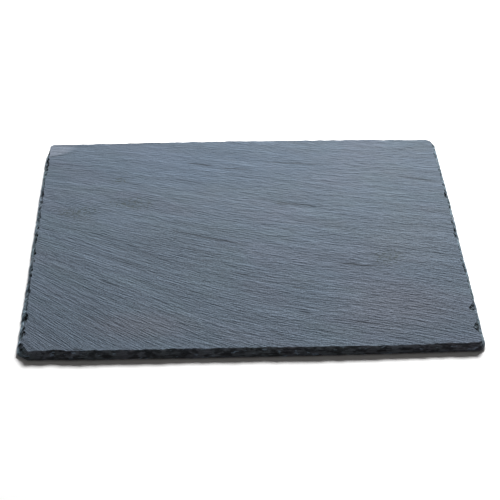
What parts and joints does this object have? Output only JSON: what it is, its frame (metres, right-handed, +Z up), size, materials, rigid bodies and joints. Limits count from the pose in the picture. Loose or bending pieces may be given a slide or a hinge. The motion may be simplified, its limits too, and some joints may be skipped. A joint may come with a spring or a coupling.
{
  "type": "slate serving board",
  "caption": "Flat rectangular slab of natural slate with a riven top and hand-chipped sloping edges, for serving food on.",
  "frame": {"origin": "middle of the underside, on the surface the board lies on", "axes": "+Z up through the slab, +X along its length, -Y towards the front edge seen in the picture"},
  "size_m": [0.4, 0.3, 0.0081],
  "materials": {
    "slate": "natural riven blue-grey, matt with a dull sheen"
  },
  "bodies": {
    "root": {"slate_board": "slate"}
  },
  "joints": []
}
